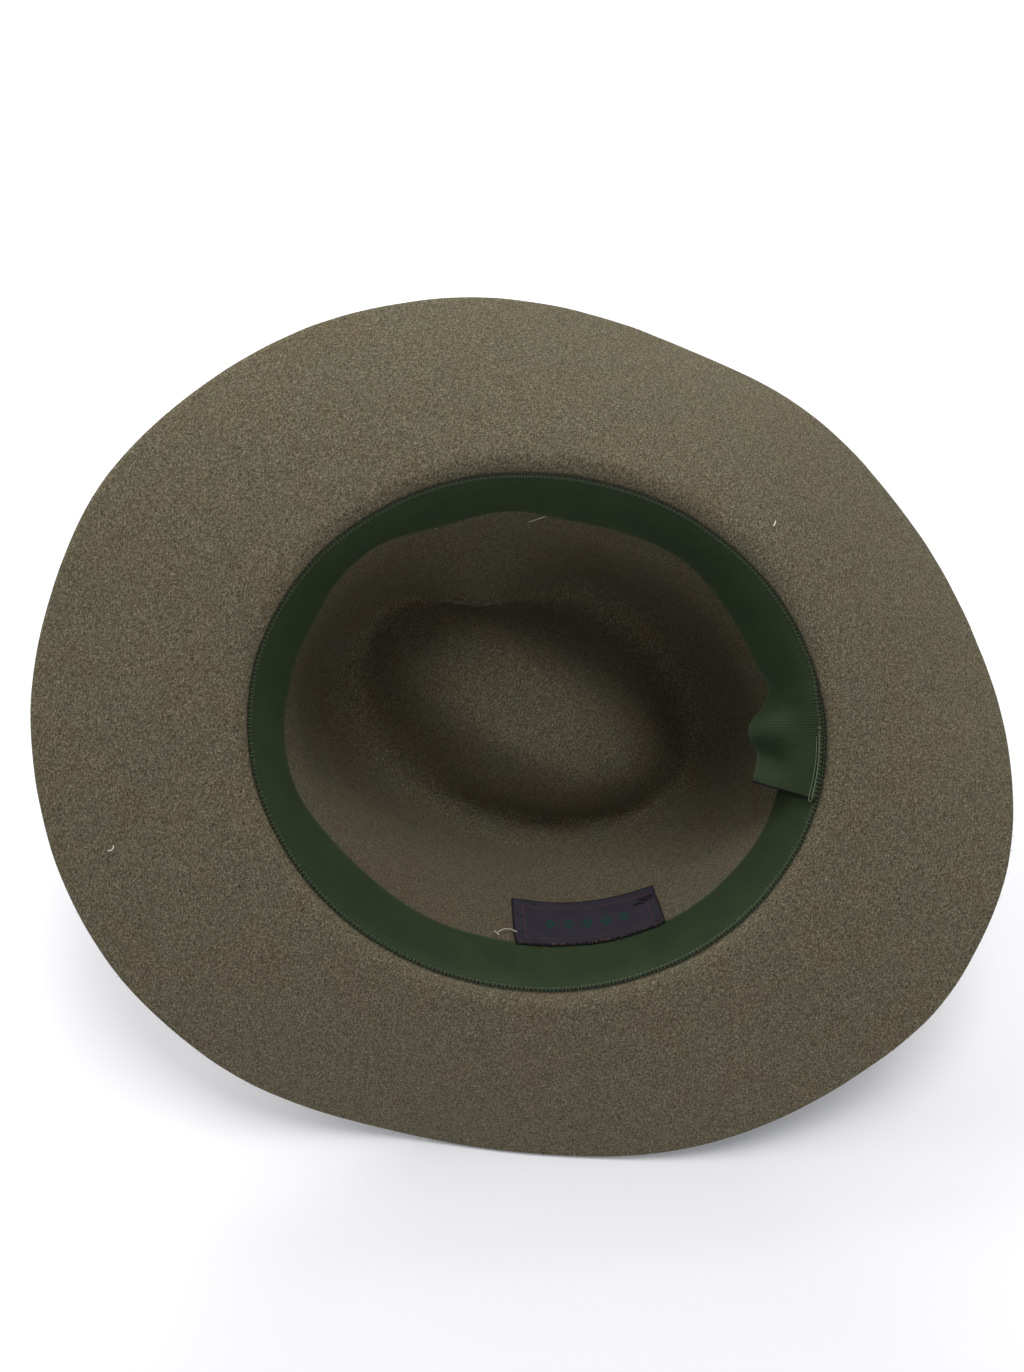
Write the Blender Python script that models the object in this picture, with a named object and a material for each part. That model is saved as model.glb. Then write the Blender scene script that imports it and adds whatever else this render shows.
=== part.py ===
"""A soft felt hunting hat, lying on the shoulder of its crown and on the edge of its brim.

The felt body is one piece: brim, rounded break, crown wall and a dented tip. A grosgrain
ribbon is sewn round the inside of the head opening, its ends lapped at the back, and a
woven label is tacked to the felt below the ribbon.

The hat is worked out in a frame of its own: X runs from front to back, Y across the head,
and Z out of the opening, with the break of the brim at Z = 0. It is then turned, tipped
over and laid on the ground plane, so that the felt presses flat where it rests.
"""
import math
from collections import namedtuple

import bmesh
import bpy
from mathutils import Matrix, Vector

# Felt body
HEAD_LENGTH = 0.1945        # mid-felt oval at the break, front to back
HEAD_WIDTH = 0.1735         # the same oval, side to side
CROWN_HEIGHT = 0.1100       # from the break down to the deepest ridge of the crown
BRIM_WIDTH = 0.0670         # from the break to the raw edge, along the felt
BREAK_RADIUS = 0.0050       # bend between crown wall and brim
FELT_THICKNESS = 0.0020

# Sweatband ribbon
RIBBON_WIDTH = 0.0260
RIBBON_THICKNESS = 0.0010
RIBBON_LAP = 0.0340         # length by which its ends lie over each other
LAP_RAMP = 0.0060           # length over which the upper end climbs onto the lower one

# Woven label
LABEL_LENGTH = 0.0570
LABEL_HEIGHT = 0.0290
LABEL_THICKNESS = 0.0010
LABEL_OVERLAP = 0.0015      # how far it lies over the free edge of the ribbon
LABEL_RAMP = 0.0060         # length over which it comes down from the ribbon to the felt

# Fit and rest
SEAT_GAP = 0.0003           # between neighbouring pieces
PRESS_CROWN = 0.0047        # how far the crown gives where it rests
PRESS_BRIM = 0.0024         # how far the brim gives where it rests
SPIN_DEG = -13.2            # turn of the hat about its own axis as it lies

# Mesh fineness
AROUND = 60
BRIM_STEPS = 8
BREAK_STEPS = 4
CROWN_STEPS = 20
EASE_PASSES = 3
RIBBON_COLUMN_DEG = 3.0

BrimRow = namedtuple("BrimRow", "angle_deg width set_deg curl_deg")
# Round the brim: width as a share of BRIM_WIDTH, slope towards the crown next to the
# break and at the raw edge. 0 is the back, 90 one side, 180 the front.
BRIM_ROWS = (
    BrimRow(0, 1.00, 6, 12),
    BrimRow(20, 1.00, 19, 29),
    BrimRow(40, 1.00, 24, 40),
    BrimRow(60, 1.00, 24, 42),
    BrimRow(80, 1.00, 27, 45),
    BrimRow(100, 1.00, 22, 38),
    BrimRow(120, 1.00, 16, 30),
    BrimRow(140, 1.00, 12, 22),
    BrimRow(160, 1.00, 6, 12),
    BrimRow(180, 1.00, 6, 8),
    BrimRow(200, 1.00, 6, 6),
    BrimRow(220, 1.00, 7, 9),
    BrimRow(240, 1.00, 12, 18),
    BrimRow(260, 1.00, 18, 30),
    BrimRow(280, 1.00, 17, 29),
    BrimRow(300, 1.00, 12, 20),
    BrimRow(320, 1.00, 8, 12),
    BrimRow(340, 1.00, 2, 4),
)

CrownRow = namedtuple("CrownRow", "way depth length width")
# Down the crown: depth as a share of CROWN_HEIGHT below the bend, length and width as
# shares of HEAD_LENGTH and HEAD_WIDTH.
CROWN_ROWS = (
    CrownRow(0.00, 0.00, 1.000, 1.000),
    CrownRow(0.10, 0.13, 0.980, 0.973),
    CrownRow(0.20, 0.26, 0.958, 0.938),
    CrownRow(0.32, 0.43, 0.936, 0.888),
    CrownRow(0.45, 0.62, 0.925, 0.840),
    CrownRow(0.56, 0.79, 0.895, 0.780),
    CrownRow(0.65, 0.91, 0.850, 0.720),
    CrownRow(0.72, 0.98, 0.785, 0.645),
    CrownRow(0.79, 1.00, 0.680, 0.540),
    CrownRow(0.87, 0.99, 0.470, 0.360),
    CrownRow(0.94, 0.98, 0.235, 0.180),
    CrownRow(1.00, 0.98, 0.000, 0.000),
)

TipDent = namedtuple("TipDent", "x y length width turn_deg rise steep")
# Dents pressed down into the tip: place and half sizes as shares of half the head oval,
# rise as a share of CROWN_HEIGHT, and how flat its top and steep its sides are.
TIP_DENTS = (
    TipDent(-0.02, 0.045, 0.79, 0.49, -23, 0.36, 3.2),
)

Pinch = namedtuple("Pinch", "angle_deg depth spread_deg spread_depth inward")
# Hollows pressed in from the sides: place round and down the crown, how far they spread,
# and how far they go in as a share of HEAD_WIDTH.
PINCHES = (
    Pinch(113, 0.84, 17, 0.28, 0.122),
    Pinch(95, 0.45, 48, 0.32, 0.022),
    Pinch(260, 0.60, 38, 0.40, 0.047),
    Pinch(32, 0.35, 26, 0.30, 0.020),
    Pinch(300, 0.88, 22, 0.28, 0.050),
)

StandOff = namedtuple("StandOff", "angle_deg lift")
# How far the free edge of the ribbon stands off the felt, as a share of RIBBON_WIDTH.
STAND_OFFS = (
    StandOff(0, 0.02),
    StandOff(15, 0.09),
    StandOff(30, 0.15),
    StandOff(45, 0.11),
    StandOff(60, 0.05),
    StandOff(75, 0.10),
    StandOff(90, 0.15),
    StandOff(105, 0.06),
    StandOff(120, 0.12),
    StandOff(135, 0.05),
    StandOff(150, 0.01),
    StandOff(165, 0.08),
    StandOff(180, 0.11),
    StandOff(195, 0.06),
    StandOff(210, 0.05),
    StandOff(225, 0.12),
    StandOff(240, 0.09),
    StandOff(255, 0.03),
    StandOff(270, 0.01),
    StandOff(285, 0.01),
    StandOff(300, 0.00),
    StandOff(330, 0.00),
    StandOff(345, 0.00),
)

EndLift = namedtuple("EndLift", "way lift")
# How much further the free edge of the upper end flares out: way from the cut end in
# lengths of the lap, lift as a share of RIBBON_WIDTH.
END_LIFTS = (
    EndLift(0.00, 0.32),
    EndLift(0.25, 0.36),
    EndLift(0.55, 0.40),
    EndLift(0.74, 0.38),
    EndLift(0.86, 0.24),
    EndLift(0.98, 0.06),
    EndLift(1.10, 0.00),
    EndLift(3.00, 0.00),
)

# Rows of the ribbon from its sewn edge to its free edge, as shares of RIBBON_WIDTH.
RIBBON_ROWS = (0.00, 0.06, 0.14, 0.40, 0.70, 1.00)

LAP_CENTRE_DEG = 8.0        # where the ribbon ends lie over each other
LABEL_CENTRE_DEG = -68.0    # where the label sits


def hermite(p0, p1, m0, m1, t):
    """Cubic between two values with the slopes given at both ends."""
    t2, t3 = t * t, t * t * t
    return ((2 * t3 - 3 * t2 + 1) * p0 + (t3 - 2 * t2 + t) * m0
            + (3 * t2 - 2 * t3) * p1 + (t3 - t2) * m1)


def read_ring(rows, column, angle_deg):
    """Smooth value of one column of a table that goes once round, at any angle."""
    count = len(rows)
    angle = angle_deg % 360.0
    index = max(i for i in range(count) if rows[i].angle_deg <= angle)

    def at(i):
        turn, place = divmod(i, count)
        return rows[place].angle_deg + 360.0 * turn, getattr(rows[place], column)

    (a0, v0), (a1, v1), (a2, v2), (a3, v3) = (at(index + k) for k in (-1, 0, 1, 2))
    span = a2 - a1
    return hermite(v1, v2, (v2 - v0) / (a2 - a0) * span, (v3 - v1) / (a3 - a1) * span,
                   (angle - a1) / span)


def read_line(rows, column, way):
    """Smooth value of one column of a table that runs along a way."""
    last = len(rows) - 1
    index = min(max(i for i in range(last + 1) if rows[i].way <= way), last - 1)
    values = [getattr(row, column) for row in rows]
    ways = [row.way for row in rows]

    def slope(i):
        low, high = max(i - 1, 0), min(i + 1, last)
        return (values[high] - values[low]) / (ways[high] - ways[low])

    span = ways[index + 1] - ways[index]
    return hermite(values[index], values[index + 1], slope(index) * span,
                   slope(index + 1) * span, (way - ways[index]) / span)


def smooth_step(low, high, value):
    """0 below low, 1 above high, with a soft passage between."""
    t = min(max((value - low) / (high - low), 0.0), 1.0)
    return t * t * (3.0 - 2.0 * t)


def oval(angle_deg):
    """Point on the head oval and the direction that leads straight out from it."""
    angle = math.radians(angle_deg)
    a, b = HEAD_LENGTH / 2, HEAD_WIDTH / 2
    out = Vector((b * math.cos(angle), a * math.sin(angle), 0.0)).normalized()
    return Vector((a * math.cos(angle), b * math.sin(angle), 0.0)), out


def bend_point(angle_deg, beta):
    """Point on the bend between crown wall and brim; beta is the heading, 90 on the wall."""
    base, out = oval(angle_deg)
    side = BREAK_RADIUS * (1.0 - math.sin(beta))
    drop = BREAK_RADIUS * (math.cos(beta) - 1.0)
    return base + out * side + Vector((0.0, 0.0, drop))


def brim_track(angle_deg):
    """Points along the felt from the end of the bend to the raw edge."""
    _, out = oval(angle_deg)
    set_down = math.radians(read_ring(BRIM_ROWS, "set_deg", angle_deg))
    curl = math.radians(read_ring(BRIM_ROWS, "curl_deg", angle_deg))
    width = BRIM_WIDTH * read_ring(BRIM_ROWS, "width", angle_deg)
    points = [bend_point(angle_deg, -set_down)]
    for step in range(BRIM_STEPS):
        share = (step + 0.5) / BRIM_STEPS
        beta = -(set_down + (curl - set_down) * share)
        along = out * math.cos(beta) + Vector((0.0, 0.0, math.sin(beta)))
        points.append(points[-1] + along * (width / BRIM_STEPS))
    return points


def crown_point(angle_deg, way):
    """Point on the crown: way 0 is the foot of the bend, way 1 the middle of the tip."""
    angle = math.radians(angle_deg)
    share = read_line(CROWN_ROWS, "depth", way)
    x = HEAD_LENGTH / 2 * read_line(CROWN_ROWS, "length", way) * math.cos(angle)
    y = HEAD_WIDTH / 2 * read_line(CROWN_ROWS, "width", way) * math.sin(angle)
    inward = 0.0
    for pinch in PINCHES:
        off = (angle_deg - pinch.angle_deg + 180.0) % 360.0 - 180.0
        inward += (HEAD_WIDTH * pinch.inward * math.exp(-(off / pinch.spread_deg) ** 2)
                   * math.exp(-((share - pinch.depth) / pinch.spread_depth) ** 2))
    inward *= 1.0 - smooth_step(0.72, 0.95, way)
    _, out = oval(angle_deg)
    x, y = x - out.x * inward, y - out.y * inward
    rise = 0.0
    for dent in TIP_DENTS:
        turn = math.radians(dent.turn_deg)
        dx = x / (HEAD_LENGTH / 2) - dent.x
        dy = y / (HEAD_WIDTH / 2) - dent.y
        u = (dx * math.cos(turn) + dy * math.sin(turn)) / dent.length
        v = (dy * math.cos(turn) - dx * math.sin(turn)) / dent.width
        reach = min(math.hypot(u, v), 1.0)
        rise += CROWN_HEIGHT * dent.rise * 0.5 * (1.0 + math.cos(math.pi * reach ** dent.steep))
    rise *= smooth_step(0.56, 0.72, way)
    depth = BREAK_RADIUS + (CROWN_HEIGHT - BREAK_RADIUS) * share - rise
    return Vector((x, y, -depth))


def wall_track(angle_deg, fineness=48):
    """Points down the inside of the opening, from half way round the bend."""
    points = [bend_point(angle_deg, math.radians(60 + 10 * k)) for k in range(3)]
    points += [crown_point(angle_deg, 0.6 * k / fineness) for k in range(fineness + 1)]
    return points


def wall_point(angle_deg, length):
    """Point at a length down the wall, measured along the felt."""
    track = wall_track(angle_deg)
    for near, far in zip(track, track[1:]):
        piece = (far - near).length
        if length <= piece:
            return near.lerp(far, length / piece)
        length -= piece
    return track[-1]


def wall_frame(angle_deg, length):
    """Point down the wall and the direction that leads from the felt into the hollow."""
    here = wall_point(angle_deg, length)
    round_way = wall_point(angle_deg + 1.0, length) - wall_point(angle_deg - 1.0, length)
    down_way = wall_point(angle_deg, length + 0.001) - wall_point(angle_deg, max(length - 0.001, 0.0))
    inward = round_way.cross(down_way).normalized()
    if inward.dot(Vector((here.x, here.y, 0.0))) > 0.0:
        inward.negate()
    return here, inward


def angle_after(start_deg, length, down):
    """Angle reached from start_deg by going a length round the wall, at one depth."""
    angle, step = start_deg, math.copysign(0.5, length)
    left = abs(length)
    here = wall_point(angle, down)
    while left > 0.0:
        there = wall_point(angle + step, down)
        piece = (there - here).length
        if piece >= left:
            return angle + step * left / piece
        left -= piece
        angle += step
        here = there
    return angle


def make_mesh(name, verts, faces):
    """New mesh from points and faces."""
    mesh = bpy.data.meshes.new(name)
    mesh.from_pydata([tuple(v) for v in verts], [], faces)
    mesh.update()
    return mesh


def make_sheet(name, grid, thickness):
    """Closed solid of even thickness round a sheet of points, row by row."""
    rows, columns = len(grid), len(grid[0])
    verts = [point for row in grid for point in row]
    faces = [(i * columns + j, i * columns + j + 1, (i + 1) * columns + j + 1,
              (i + 1) * columns + j)
             for i in range(rows - 1) for j in range(columns - 1)]
    return thicken(name, verts, faces, thickness)


def thicken(name, verts, faces, thickness):
    """Solidify a mid surface and hand back the finished mesh."""
    sheet = bpy.data.objects.new(name + "_mid", make_mesh(name + "_mid", verts, faces))
    bpy.context.collection.objects.link(sheet)
    solidify = sheet.modifiers.new("thickness", 'SOLIDIFY')
    solidify.thickness = thickness
    solidify.offset = 0.0
    solidify.use_even_offset = True
    solidify.use_rim = True
    bpy.context.view_layer.update()
    evaluated = sheet.evaluated_get(bpy.context.evaluated_depsgraph_get())
    mesh = bpy.data.meshes.new_from_object(evaluated)
    mesh.name = name
    bpy.data.objects.remove(sheet, do_unlink=True)
    return mesh


def face_out(mesh):
    """Triangulate a closed mesh and turn its faces outward."""
    work = bmesh.new()
    work.from_mesh(mesh)
    bmesh.ops.triangulate(work, faces=work.faces[:], quad_method='SHORT_EDGE')
    bmesh.ops.recalc_face_normals(work, faces=work.faces[:])
    work.to_mesh(mesh)
    work.free()
    mesh.update()


def felt_columns():
    """Mid surface of the felt: for each angle the points from raw edge to tip."""
    columns = []
    for k in range(AROUND):
        angle = 360.0 * k / AROUND
        set_down = math.radians(read_ring(BRIM_ROWS, "set_deg", angle))
        column = brim_track(angle)[::-1]
        for step in range(1, BREAK_STEPS + 1):
            share = step / BREAK_STEPS
            beta = -set_down + (math.pi / 2 + set_down) * share
            column.append(bend_point(angle, beta))
        column += [crown_point(angle, step / CROWN_STEPS) for step in range(1, CROWN_STEPS)]
        columns.append(column)
    return columns


def ease_folds(columns):
    """Round the folds of the tip, as thick felt does: each point goes towards its neighbours."""
    wall_start = len(columns[0]) - (CROWN_STEPS - 1)
    first = wall_start + round(0.45 * CROWN_STEPS)
    for _ in range(EASE_PASSES):
        eased = [list(column) for column in columns]
        for k, column in enumerate(columns):
            before, after = columns[k - 1], columns[(k + 1) % AROUND]
            for i in range(first, len(column) - 1):
                middle = (before[i] + after[i] + column[i - 1] + column[i + 1]) / 4
                eased[k][i] = column[i].lerp(middle, 0.5)
        columns = eased
    return columns


def felt_sheet():
    """Points and faces of the felt's mid surface."""
    columns = ease_folds(felt_columns())
    rows = len(columns[0])
    verts = [columns[k][i] for i in range(rows) for k in range(AROUND)]
    verts.append(crown_point(0.0, 1.0))
    middle = len(verts) - 1
    faces = []
    for i in range(rows - 1):
        for k in range(AROUND):
            nxt = (k + 1) % AROUND
            faces.append((i * AROUND + k, i * AROUND + nxt,
                          (i + 1) * AROUND + nxt, (i + 1) * AROUND + k))
    last = (rows - 1) * AROUND
    faces += [(last + k, last + (k + 1) % AROUND, middle) for k in range(AROUND)]
    return verts, faces, BRIM_STEPS * AROUND


def stand_off(angle_deg):
    """How far the free edge of the ribbon stands off the felt."""
    return RIBBON_WIDTH * max(read_ring(STAND_OFFS, "lift", angle_deg), 0.0)


def ribbon_offset(laps_left, down, angle_deg):
    """Distance of the ribbon's middle from the felt's middle."""
    seat = (FELT_THICKNESS + RIBBON_THICKNESS) / 2 + SEAT_GAP
    lift = stand_off(angle_deg)
    if laps_left < END_LIFTS[-1].way:
        lift += RIBBON_WIDTH * max(read_line(END_LIFTS, "lift", max(laps_left, 0.0)), 0.0)
    ramp = LAP_RAMP / RIBBON_LAP
    climb = 1.0 - smooth_step(1.0 + 0.2 * ramp, 1.0 + 1.2 * ramp, laps_left)
    return seat + lift * (down / RIBBON_WIDTH) ** 2 + climb * (RIBBON_THICKNESS + SEAT_GAP)


def ribbon_sheet():
    """Mid surface of the sweatband ribbon, from its lower end round to its upper end."""
    downs = [RIBBON_WIDTH * share for share in RIBBON_ROWS]
    middle = RIBBON_WIDTH / 2
    start = angle_after(LAP_CENTRE_DEG, RIBBON_LAP / 2, middle)
    finish = angle_after(LAP_CENTRE_DEG, -RIBBON_LAP / 2, middle) - 360.0
    lap = start - finish - 360.0
    count = round((start - finish) / RIBBON_COLUMN_DEG)
    angles = [start + (finish - start) * k / count for k in range(count + 1)]
    grid = []
    for down in downs:
        row = []
        for angle in angles:
            here, inward = wall_frame(angle, down)
            row.append(here + inward * ribbon_offset((angle - finish) / lap, down, angle))
        grid.append(row)
    return grid


def label_sheet():
    """Mid surface of the label, its upper edge lying over the ribbon's free edge."""
    seat = (FELT_THICKNESS + LABEL_THICKNESS) / 2 + SEAT_GAP
    over = RIBBON_THICKNESS + SEAT_GAP
    top = RIBBON_WIDTH - LABEL_OVERLAP
    grid = []
    for i in range(7):
        share = i / 6
        down = top + LABEL_HEIGHT * share
        row = []
        for k in range(11):
            side = LABEL_LENGTH * (k / 10 - 0.5)
            angle = angle_after(LABEL_CENTRE_DEG, side, down) if side else LABEL_CENTRE_DEG
            here, inward = wall_frame(angle, down)
            ramp = 1.0 - smooth_step(LABEL_OVERLAP, LABEL_OVERLAP + LABEL_RAMP, down - top)
            row.append(here + inward * (seat + (over + stand_off(angle)) * ramp))
        grid.append(row)
    return grid


def resting_pose(points, on_brim):
    """Turn, tilt and drop that lay the hat on its brim edge and its crown at once."""
    spin = Matrix.Rotation(math.radians(SPIN_DEG), 3, 'Z')
    turned = [spin @ point for point in points]
    brim = [point for point, flag in zip(turned, on_brim) if flag]
    crown = [point for point, flag in zip(turned, on_brim) if not flag]

    def lowest(group, tilt):
        return min(point.y * math.sin(tilt) + point.z * math.cos(tilt) for point in group)

    low, high = math.radians(15.0), math.radians(80.0)
    for _ in range(50):
        tilt = (low + high) / 2
        if lowest(brim, tilt) + PRESS_BRIM > lowest(crown, tilt) + PRESS_CROWN:
            low = tilt
        else:
            high = tilt
    drop = -PRESS_CROWN - lowest(crown, tilt)
    turn = Matrix.Rotation(tilt, 4, 'X') @ Matrix.Rotation(math.radians(SPIN_DEG), 4, 'Z')
    return Matrix.Translation((0.0, 0.0, drop)) @ turn


def press_flat(mesh, sheet_count):
    """Lift both skins together wherever the lower one would sink into the ground."""
    for k in range(sheet_count):
        pair = (mesh.vertices[k], mesh.vertices[k + sheet_count])
        sunk = min(vertex.co.z for vertex in pair)
        if sunk < 0.0:
            for vertex in pair:
                vertex.co.z -= sunk


def material(name, colour, roughness):
    """Plain surface with the piece's colour and roughness."""
    made = bpy.data.materials.new(name)
    made.use_nodes = True
    shader = made.node_tree.nodes["Principled BSDF"]
    shader.inputs["Base Color"].default_value = colour
    shader.inputs["Roughness"].default_value = roughness
    shader.inputs["Metallic"].default_value = 0.0
    made.diffuse_color = colour
    return made


def add_piece(name, mesh, skin):
    """Object for one finished piece."""
    face_out(mesh)
    mesh.materials.clear()
    mesh.materials.append(skin)
    mesh.shade_smooth()
    mesh.set_sharp_from_angle(angle=math.radians(50.0))
    piece = bpy.data.objects.new(name, mesh)
    bpy.context.collection.objects.link(piece)
    return piece


for old in list(bpy.data.objects):
    bpy.data.objects.remove(old, do_unlink=True)

# The felt is thickened, laid down, and pressed flat where it would sink into the ground.
felt_verts, felt_faces, crown_start = felt_sheet()
felt_mesh = thicken("felt_body", felt_verts, felt_faces, FELT_THICKNESS)
sheet_size = len(felt_verts)
POSE = resting_pose([vertex.co for vertex in felt_mesh.vertices],
                    [k % sheet_size < crown_start for k in range(2 * sheet_size)])
felt_mesh.transform(POSE)
press_flat(felt_mesh, sheet_size)

ribbon_mesh = make_sheet("sweatband_ribbon", ribbon_sheet(), RIBBON_THICKNESS)
label_mesh = make_sheet("woven_label", label_sheet(), LABEL_THICKNESS)
for mesh in (ribbon_mesh, label_mesh):
    mesh.transform(POSE)

xs = [v.co.x for v in felt_mesh.vertices]
ys = [v.co.y for v in felt_mesh.vertices]
CENTRE = Vector(((min(xs) + max(xs)) / 2, (min(ys) + max(ys)) / 2, 0.0))
for mesh in (felt_mesh, ribbon_mesh, label_mesh):
    mesh.transform(Matrix.Translation(-CENTRE))

olive_felt = material("olive_felt", (0.080, 0.068, 0.040, 1.0), 0.95)
green_grosgrain = material("green_grosgrain", (0.018, 0.036, 0.014, 1.0), 0.75)
aubergine_weave = material("aubergine_weave", (0.030, 0.023, 0.026, 1.0), 0.80)

add_piece("felt_body", felt_mesh, olive_felt)
add_piece("sweatband_ribbon", ribbon_mesh, green_grosgrain)
add_piece("woven_label", label_mesh, aubergine_weave)
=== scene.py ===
"""Looks of a soft felt hunting hat: brushed felt, a grosgrain sweatband and a small woven label.

Every piece is worked out on the CAD solid that it stands for. The ribbon and the label are
read back as grids of rows and columns, so that their ribs, selvedges and stitches follow the
cloth, and all pieces then share one soft unevenness, as felt that has been worn.
"""

import logging
import math
import random
from dataclasses import dataclass
from enum import Enum

import bmesh
import bpy
from mathutils import Matrix, Vector, noise
from mathutils.bvhtree import BVHTree


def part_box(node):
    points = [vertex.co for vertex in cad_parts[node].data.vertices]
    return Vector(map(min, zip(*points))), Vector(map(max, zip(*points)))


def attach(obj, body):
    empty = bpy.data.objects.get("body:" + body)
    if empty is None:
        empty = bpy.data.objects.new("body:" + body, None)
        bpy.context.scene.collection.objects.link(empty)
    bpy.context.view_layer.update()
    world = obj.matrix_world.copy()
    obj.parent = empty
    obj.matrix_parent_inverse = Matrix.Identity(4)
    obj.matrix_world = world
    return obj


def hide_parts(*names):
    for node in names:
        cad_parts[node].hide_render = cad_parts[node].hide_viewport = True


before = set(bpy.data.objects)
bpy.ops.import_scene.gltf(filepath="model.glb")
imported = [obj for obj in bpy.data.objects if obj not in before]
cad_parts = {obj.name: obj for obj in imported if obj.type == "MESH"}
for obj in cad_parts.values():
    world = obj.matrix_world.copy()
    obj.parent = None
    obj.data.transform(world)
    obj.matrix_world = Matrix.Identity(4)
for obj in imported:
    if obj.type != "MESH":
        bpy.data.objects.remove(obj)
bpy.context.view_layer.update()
# One fixed seed, so that the felt is uneven in the same way each time.
noise.seed_set(7)

LOG = logging.getLogger("hunting_hat")
BODY = "root"
MM = 0.001
# Vertices of the CAD mesh closer than this are one.
MERGE_WITHIN = 0.00005
# Folds of the cloth's skin below this angle are shaded as round.
ROUND_BELOW = math.radians(40.0)
# Edges of the felt above this angle are its raw cut edge.
RAW_EDGE_ABOVE = math.radians(70.0)
# Edges shorter than this can go through a cloth, those longer than the other lie in its skin.
THROUGH_BELOW, IN_SKIN_ABOVE = 0.0012, 0.0035
# Drift of worn felt: how many waves go on a metre, and how high they are.
BROAD_WAVES, BROAD_HEIGHT = 26.0, 0.0006
FINE_WAVES, FINE_HEIGHT = 95.0, 0.00014
# Straight out of the head opening, as the hat lies.
OUT_OF_CROWN = Vector((0.0, -0.5986, 0.8010))

Grid = list[list[Vector]]
Socket = bpy.types.NodeSocket


class Shape(Enum):
    """How the points of a thread are joined."""

    STRAIGHT = "POLY"
    SMOOTH = "NURBS"


# ---- small tools ----


def linear(hex_colour: str) -> tuple[float, float, float, float]:
    """Turn an sRGB hex colour into linear values.

    Args:
        hex_colour: six hex digits, with or without a leading #.

    Returns:
        Red, green, blue and a full alpha.
    """
    digits = hex_colour.lstrip("#")
    shares = [int(digits[i:i + 2], 16) / 255.0 for i in (0, 2, 4)]
    made = [c / 12.92 if c <= 0.04045 else ((c + 0.055) / 1.055) ** 2.4 for c in shares]
    return made[0], made[1], made[2], 1.0


def deselect_all() -> None:
    """Leave nothing selected, and object mode on."""
    if bpy.context.object and bpy.context.object.mode != 'OBJECT':
        bpy.ops.object.mode_set(mode='OBJECT')
    bpy.ops.object.select_all(action='DESELECT')


def pick(piece: bpy.types.Object) -> None:
    """Select one object alone and make it active."""
    deselect_all()
    piece.select_set(True)
    bpy.context.view_layer.objects.active = piece


def apply_modifier(piece: bpy.types.Object, kind: str, **settings: object) -> None:
    """Add a modifier to a piece and apply it.

    Args:
        piece: the object that is changed.
        kind: the modifier's type.
        settings: values for the modifier's own fields.
    """
    pick(piece)
    modifier = piece.modifiers.new(kind.lower(), kind)
    for field_name, value in settings.items():
        setattr(modifier, field_name, value)
    bpy.ops.object.modifier_apply(modifier=modifier.name)


def smooth_step(low: float, high: float, value: float) -> float:
    """Rise softly from 0 at low to 1 at high."""
    t = min(max((value - low) / (high - low), 0.0), 1.0)
    return t * t * (3.0 - 2.0 * t)


def new_object(name: str, mesh: bpy.types.Mesh) -> bpy.types.Object:
    """Put a mesh into the scene as an object of that name."""
    made = bpy.data.objects.new(name, mesh)
    bpy.context.scene.collection.objects.link(made)
    return made


@dataclass(frozen=True)
class SoftFold:
    """A shallow give in the soft crown: its middle, how far it pushes there, and its reach."""

    middle: tuple[float, float, float]
    push: tuple[float, float, float]
    reach: float

    def shift(self, point: Vector) -> Vector:
        """Drift that the fold gives to a point."""
        away = (point - Vector(self.middle)).length / self.reach
        return Vector(self.push) * math.exp(-away * away)


# The near flank of the dented tip eases into the wall, the far pockets go a little deeper.
SOFT_FOLDS = (
    SoftFold((-0.018, 0.019, 0.019), (0.0, -0.0030, 0.0034), 0.018),
    SoftFold((0.010, 0.014, 0.014), (0.0, -0.0024, 0.0028), 0.014),
    SoftFold((-0.042, 0.064, 0.068), (-0.0010, 0.0010, -0.0028), 0.013),
    SoftFold((0.034, 0.084, 0.062), (0.0, 0.0028, -0.0010), 0.014),
)


def unevenness(point: Vector) -> Vector:
    """Small soft drift of worn felt, the same for every piece that lies at a place.

    Args:
        point: the place.

    Returns:
        How far the place moves.
    """
    broad = noise.noise_vector(point * BROAD_WAVES) * BROAD_HEIGHT
    fine = noise.noise_vector(point * FINE_WAVES + Vector((3.0, 7.0, 1.0))) * FINE_HEIGHT
    folds = sum((fold.shift(point) for fold in SOFT_FOLDS), Vector())
    # Both fade out towards the ground, so that the hat still lies on it.
    drift_share = smooth_step(0.0, 0.03, point.z)
    fold_share = smooth_step(0.002, 0.014, point.z)
    return (broad + fine) * drift_share + folds * fold_share


def wear_in(piece: bpy.types.Object) -> None:
    """Give a finished mesh the unevenness, kept above the ground."""
    for vertex in piece.data.vertices:
        vertex.co += unevenness(vertex.co)
        vertex.co.z = max(vertex.co.z, 0.0)
    piece.data.update()


def lift_clear(sheet: bpy.types.Object, below_name: str, need: float) -> None:
    """Lift an open sheet off the piece below it wherever it comes too close.

    Args:
        sheet: the cloth's middle surface.
        below_name: name of the piece that it lies on.
        need: smallest distance from that piece's surface.
    """
    below = bpy.data.objects[below_name]
    tree = BVHTree.FromPolygons([v.co for v in below.data.vertices],
                                [tuple(p.vertices) for p in below.data.polygons])
    for vertex in sheet.data.vertices:
        spot, up, _, _ = tree.find_nearest(vertex.co)
        if up.dot(HOLLOW - spot) > 0.0:
            vertex.co += up * max(need - (vertex.co - spot).dot(up), 0.0)


def cloth_spots(sheet: bpy.types.Object) -> dict[int, Vector]:
    """Read where each vertex lies on its cloth, along and down in metres."""
    uv = sheet.data.uv_layers["cloth"].data
    return {loop.vertex_index: uv[loop.index].uv.copy() for loop in sheet.data.loops}


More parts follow.
